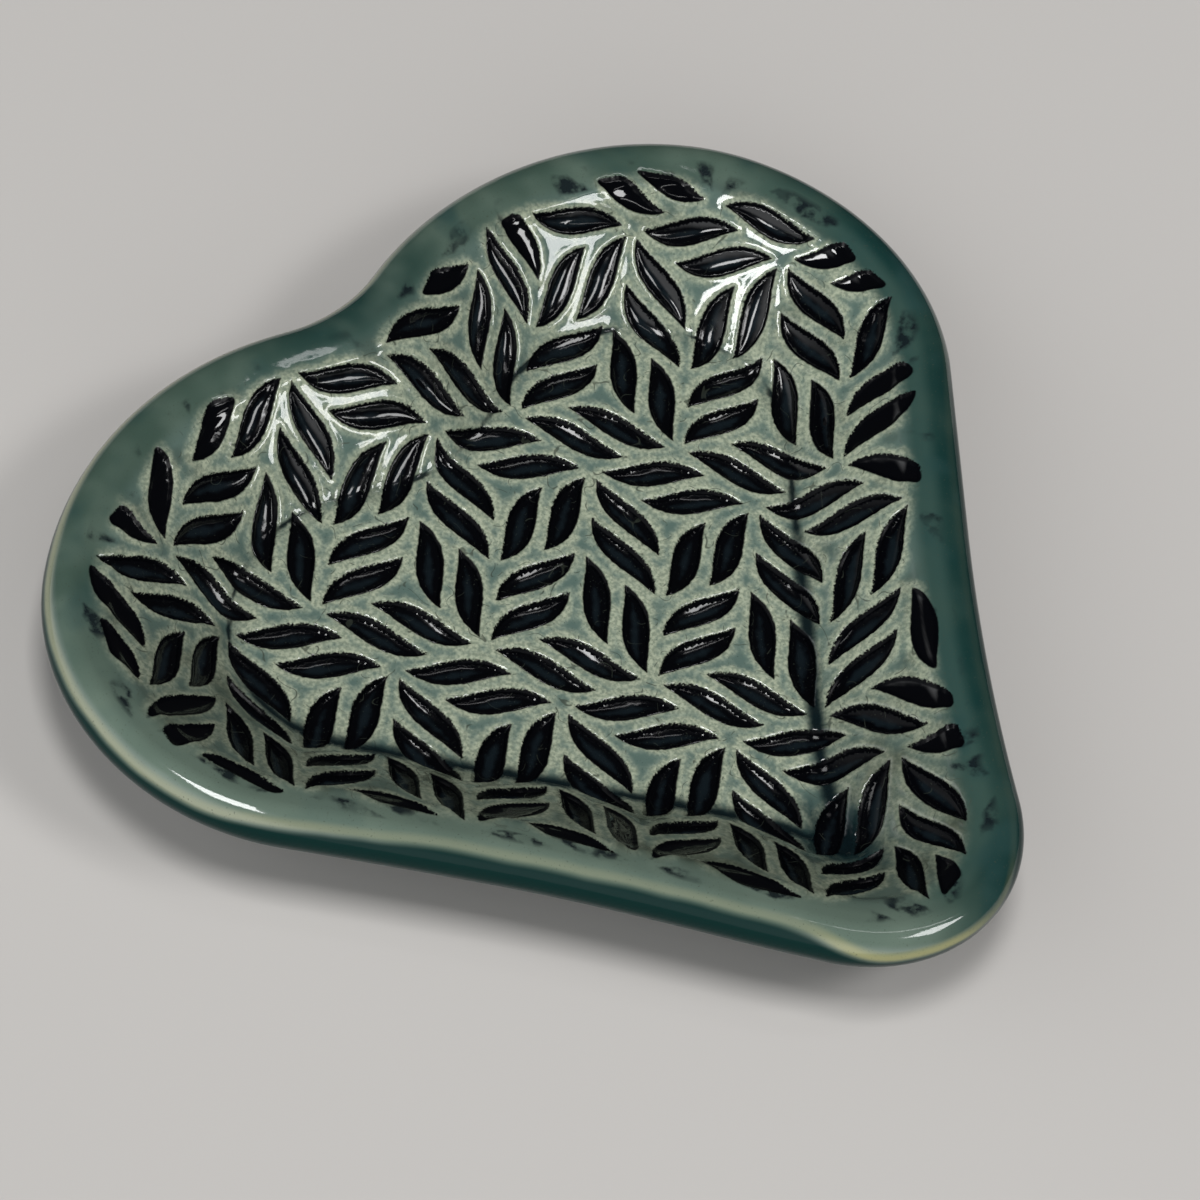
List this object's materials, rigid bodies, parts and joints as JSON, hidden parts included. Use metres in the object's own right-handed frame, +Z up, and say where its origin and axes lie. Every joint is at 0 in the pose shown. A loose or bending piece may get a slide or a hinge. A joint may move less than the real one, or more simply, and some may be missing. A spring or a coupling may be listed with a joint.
{
  "type": "heart-shaped dish",
  "caption": "Shallow heart-shaped slab-built ceramic dish with a flat floor, flared walls, a rounded rim and black slip set in stamped leaves.",
  "frame": {"origin": "centre of the dish's bounding box, on the surface it stands on", "axes": "+Z up, +Y towards the two lobes, the heart's tip towards -Y, +X across the lobes"},
  "size_m": [0.1398, 0.1212, 0.0168],
  "materials": {
    "celadon_glaze": "glossy translucent blue-green glaze, paler olive where it thins over edges",
    "black_slip": "near-black slip under clear gloss"
  },
  "bodies": {
    "root": {"dish_body": "celadon_glaze", "leaf_inlay_01": "black_slip", "leaf_inlay_02": "black_slip", "leaf_inlay_03": "black_slip", "leaf_inlay_04": "black_slip", "leaf_inlay_05": "black_slip", "leaf_inlay_06": "black_slip", "leaf_inlay_07": "black_slip", "leaf_inlay_08": "black_slip", "leaf_inlay_09": "black_slip", "leaf_inlay_10": "black_slip", "leaf_inlay_11": "black_slip", "leaf_inlay_12": "black_slip", "leaf_inlay_13": "black_slip", "leaf_inlay_14": "black_slip", "leaf_inlay_15": "black_slip", "leaf_inlay_16": "black_slip", "leaf_inlay_17": "black_slip", "leaf_inlay_18": "black_slip", "leaf_inlay_19": "black_slip", "leaf_inlay_20": "black_slip", "leaf_inlay_21": "black_slip", "leaf_inlay_22": "black_slip", "leaf_inlay_23": "black_slip", "leaf_inlay_24": "black_slip", "leaf_inlay_25": "black_slip", "leaf_inlay_26": "black_slip", "leaf_inlay_27": "black_slip", "leaf_inlay_28": "black_slip", "leaf_inlay_29": "black_slip", "leaf_inlay_30": "black_slip", "leaf_inlay_31": "black_slip", "leaf_inlay_32": "black_slip", "leaf_inlay_33": "black_slip", "leaf_inlay_34": "black_slip", "leaf_inlay_35": "black_slip", "leaf_inlay_36": "black_slip", "leaf_inlay_37": "black_slip", "leaf_inlay_38": "black_slip", "leaf_inlay_39": "black_slip", "leaf_inlay_40": "black_slip", "leaf_inlay_41": "black_slip", "leaf_inlay_42": "black_slip", "leaf_inlay_43": "black_slip", "leaf_inlay_44": "black_slip", "leaf_inlay_45": "black_slip", "leaf_inlay_46": "black_slip", "leaf_inlay_47": "black_slip", "leaf_inlay_48": "black_slip", "leaf_inlay_49": "black_slip", "leaf_inlay_50": "black_slip", "leaf_inlay_51": "black_slip", "leaf_inlay_52": "black_slip", "leaf_inlay_53": "black_slip", "leaf_inlay_54": "black_slip", "leaf_inlay_55": "black_slip", "leaf_inlay_56": "black_slip", "leaf_inlay_57": "black_slip", "leaf_inlay_58": "black_slip", "leaf_inlay_59": "black_slip"}
  },
  "joints": []
}
